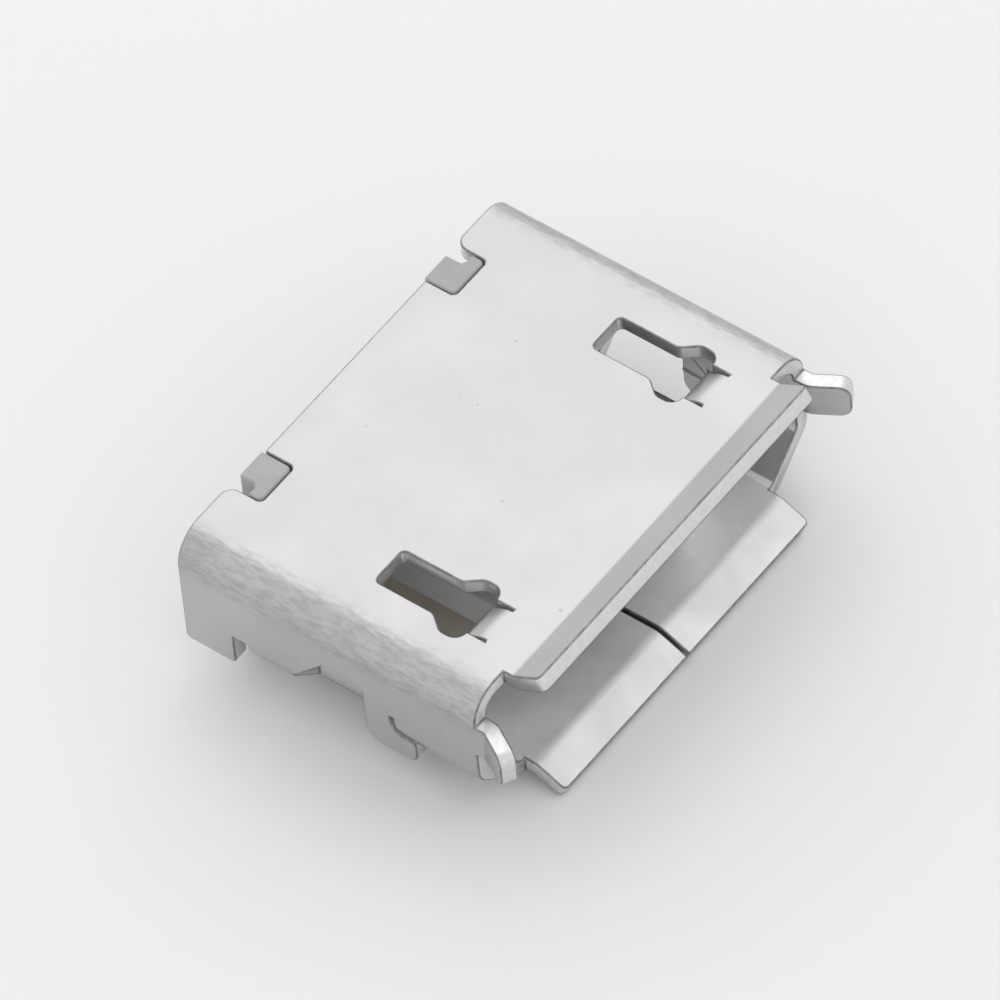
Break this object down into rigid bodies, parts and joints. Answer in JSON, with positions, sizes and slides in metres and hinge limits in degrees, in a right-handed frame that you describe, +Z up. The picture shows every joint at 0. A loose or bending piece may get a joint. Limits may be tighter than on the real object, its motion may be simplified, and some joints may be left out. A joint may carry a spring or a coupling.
{
  "type": "micro usb socket",
  "caption": "Board-mounted socket for a small data and charging plug: a folded sheet-metal shell with flared mouth lips, latch windows and solder legs round a plastic tongue with flat contacts.",
  "frame": {"origin": "centre of the shell's bottom face, halfway along the top plate", "axes": "+Z up, -Y out of the mouth, X across the mouth"},
  "size_m": [0.008, 0.0064, 0.0029],
  "materials": {
    "plated_sheet": "satin plated sheet, brighter on its cut edges",
    "housing_plastic": "moulded, fine matt",
    "contact_plating": "thin gold plating, satin"
  },
  "bodies": {
    "root": {"shell": "plated_sheet", "housing": "housing_plastic", "contact_1": "contact_plating", "contact_2": "contact_plating", "contact_3": "contact_plating", "contact_4": "contact_plating", "contact_5": "contact_plating"}
  },
  "joints": []
}
